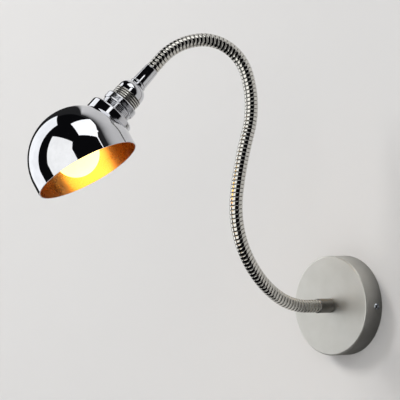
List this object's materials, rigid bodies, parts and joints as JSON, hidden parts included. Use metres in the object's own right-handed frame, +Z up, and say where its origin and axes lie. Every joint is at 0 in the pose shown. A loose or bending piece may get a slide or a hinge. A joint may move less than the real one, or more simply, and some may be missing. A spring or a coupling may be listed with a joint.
{
  "type": "wall sconce",
  "caption": "Gooseneck wall light: round canopy, bendable ribbed arm, side-mounted half-ball shade on a screw-cap lampholder.",
  "frame": {"origin": "centre of the canopy circle on the wall plane", "axes": "+Z up, +Y into the wall, -Y the way the light reaches out, +X to the right of someone facing the wall"},
  "size_m": [0.1794, 0.3371, 0.3169],
  "materials": {
    "satin_nickel": "satin nickel plate on drawn and turned steel",
    "polished_chrome": "polished chrome plate; the shade is lacquered satin silver inside",
    "wound_steel": "bright nickel plate on wound steel",
    "flex_sheath": "smooth PVC sheath",
    "zinc_plated_steel": "clear zinc plate",
    "brass": "turned and pressed brass",
    "white_polyamide": "moulded",
    "grey_polyamide": "moulded",
    "porcelain": "glazed",
    "brown_wire": "PVC insulation",
    "blue_wire": "PVC insulation",
    "green_wire": "green and yellow PVC insulation",
    "lamp_cap_metal": "nickel plated",
    "lamp_seal_glass": "black sealing glass",
    "frosted_glass": "frosted, lit warm",
    "clear_glass": "clear"
  },
  "bodies": {
    "root": {"wall_bracket": "zinc_plated_steel", "side_screws": "zinc_plated_steel", "terminal_block": "white_polyamide", "clamp_screws": "brass", "block_screw": "zinc_plated_steel", "earth_lug": "brass", "earth_screw": "zinc_plated_steel", "live_wire": "brown_wire", "neutral_wire": "blue_wire", "earth_wire": "green_wire", "canopy": "satin_nickel", "arm_nipple": "zinc_plated_steel", "lock_washer": "zinc_plated_steel", "nipple_nut": "zinc_plated_steel", "nipple_bush": "grey_polyamide", "lower_ferrule": "satin_nickel", "gooseneck_1": "wound_steel", "flex_1": "flex_sheath"},
    "arm_2": {"gooseneck_2": "wound_steel", "flex_2": "flex_sheath"},
    "arm_3": {"gooseneck_3": "wound_steel", "flex_3": "flex_sheath"},
    "arm_4": {"gooseneck_4": "wound_steel", "flex_4": "flex_sheath"},
    "arm_5": {"gooseneck_5": "wound_steel", "flex_5": "flex_sheath"},
    "arm_6": {"gooseneck_6": "wound_steel", "flex_6": "flex_sheath"},
    "shade": {"shade": "polished_chrome"},
    "head": {"gooseneck_7": "wound_steel", "flex_7": "flex_sheath", "upper_ferrule": "polished_chrome", "lock_collar": "polished_chrome", "holder_nipple": "zinc_plated_steel", "holder_cap": "polished_chrome", "holder_skirt": "polished_chrome", "holder_insert": "porcelain", "screw_shell": "brass", "centre_contact": "brass", "holder_live_wire": "brown_wire", "holder_neutral_wire": "blue_wire", "outer_ring": "polished_chrome", "inner_ring": "polished_chrome", "lamp_tip": "brass", "lamp_seal": "lamp_seal_glass", "lamp_cap": "lamp_cap_metal", "lamp_globe": "frosted_glass", "lamp_stem": "clear_glass"}
  },
  "joints": [
    {"name": "base_tilt", "type": "hinge", "parent": "root", "child": "arm_2", "pos_m": [0, -0.09988, 0.01203], "axis": [-1, 0, 0], "range_deg": [-25, 20], "deforming": ["gooseneck_1", "flex_1"]},
    {"name": "base_swing", "type": "hinge", "parent": "arm_2", "child": "arm_3", "pos_m": [0, -0.14183, 0.05397], "axis": [0, -0.866, -0.5], "range_deg": [-25, 25], "deforming": ["gooseneck_2", "flex_2"]},
    {"name": "middle_tilt", "type": "hinge", "parent": "arm_3", "child": "arm_4", "pos_m": [0, -0.15255, 0.11183], "axis": [-1, 0, 0], "range_deg": [-20, 20], "deforming": ["gooseneck_3", "flex_3"]},
    {"name": "middle_swing", "type": "hinge", "parent": "arm_4", "child": "arm_5", "pos_m": [0, -0.13755, 0.16983], "axis": [0, -0.9397, 0.342], "range_deg": [-25, 25], "deforming": ["gooseneck_4", "flex_4"]},
    {"name": "top_tilt", "type": "hinge", "parent": "arm_5", "child": "arm_6", "pos_m": [-0.00643, -0.13326, 0.22845], "axis": [-0.9049, 0.4115, -0.1092], "range_deg": [-15, 35], "deforming": ["gooseneck_5", "flex_5"]},
    {"name": "top_swing", "type": "hinge", "parent": "arm_6", "child": "head", "pos_m": [-0.02836, -0.17304, 0.26031], "axis": [0.1257, 0.0133, -0.992], "range_deg": [-30, 30], "deforming": ["gooseneck_6", "flex_6", "gooseneck_7", "flex_7"]},
    {"name": "shade_swivel", "type": "hinge", "parent": "head", "child": "shade", "pos_m": [-0.06501, -0.25519, 0.18767], "axis": [0.2756, 0.6179, 0.7364], "range_deg": [-150, 150]}
  ]
}
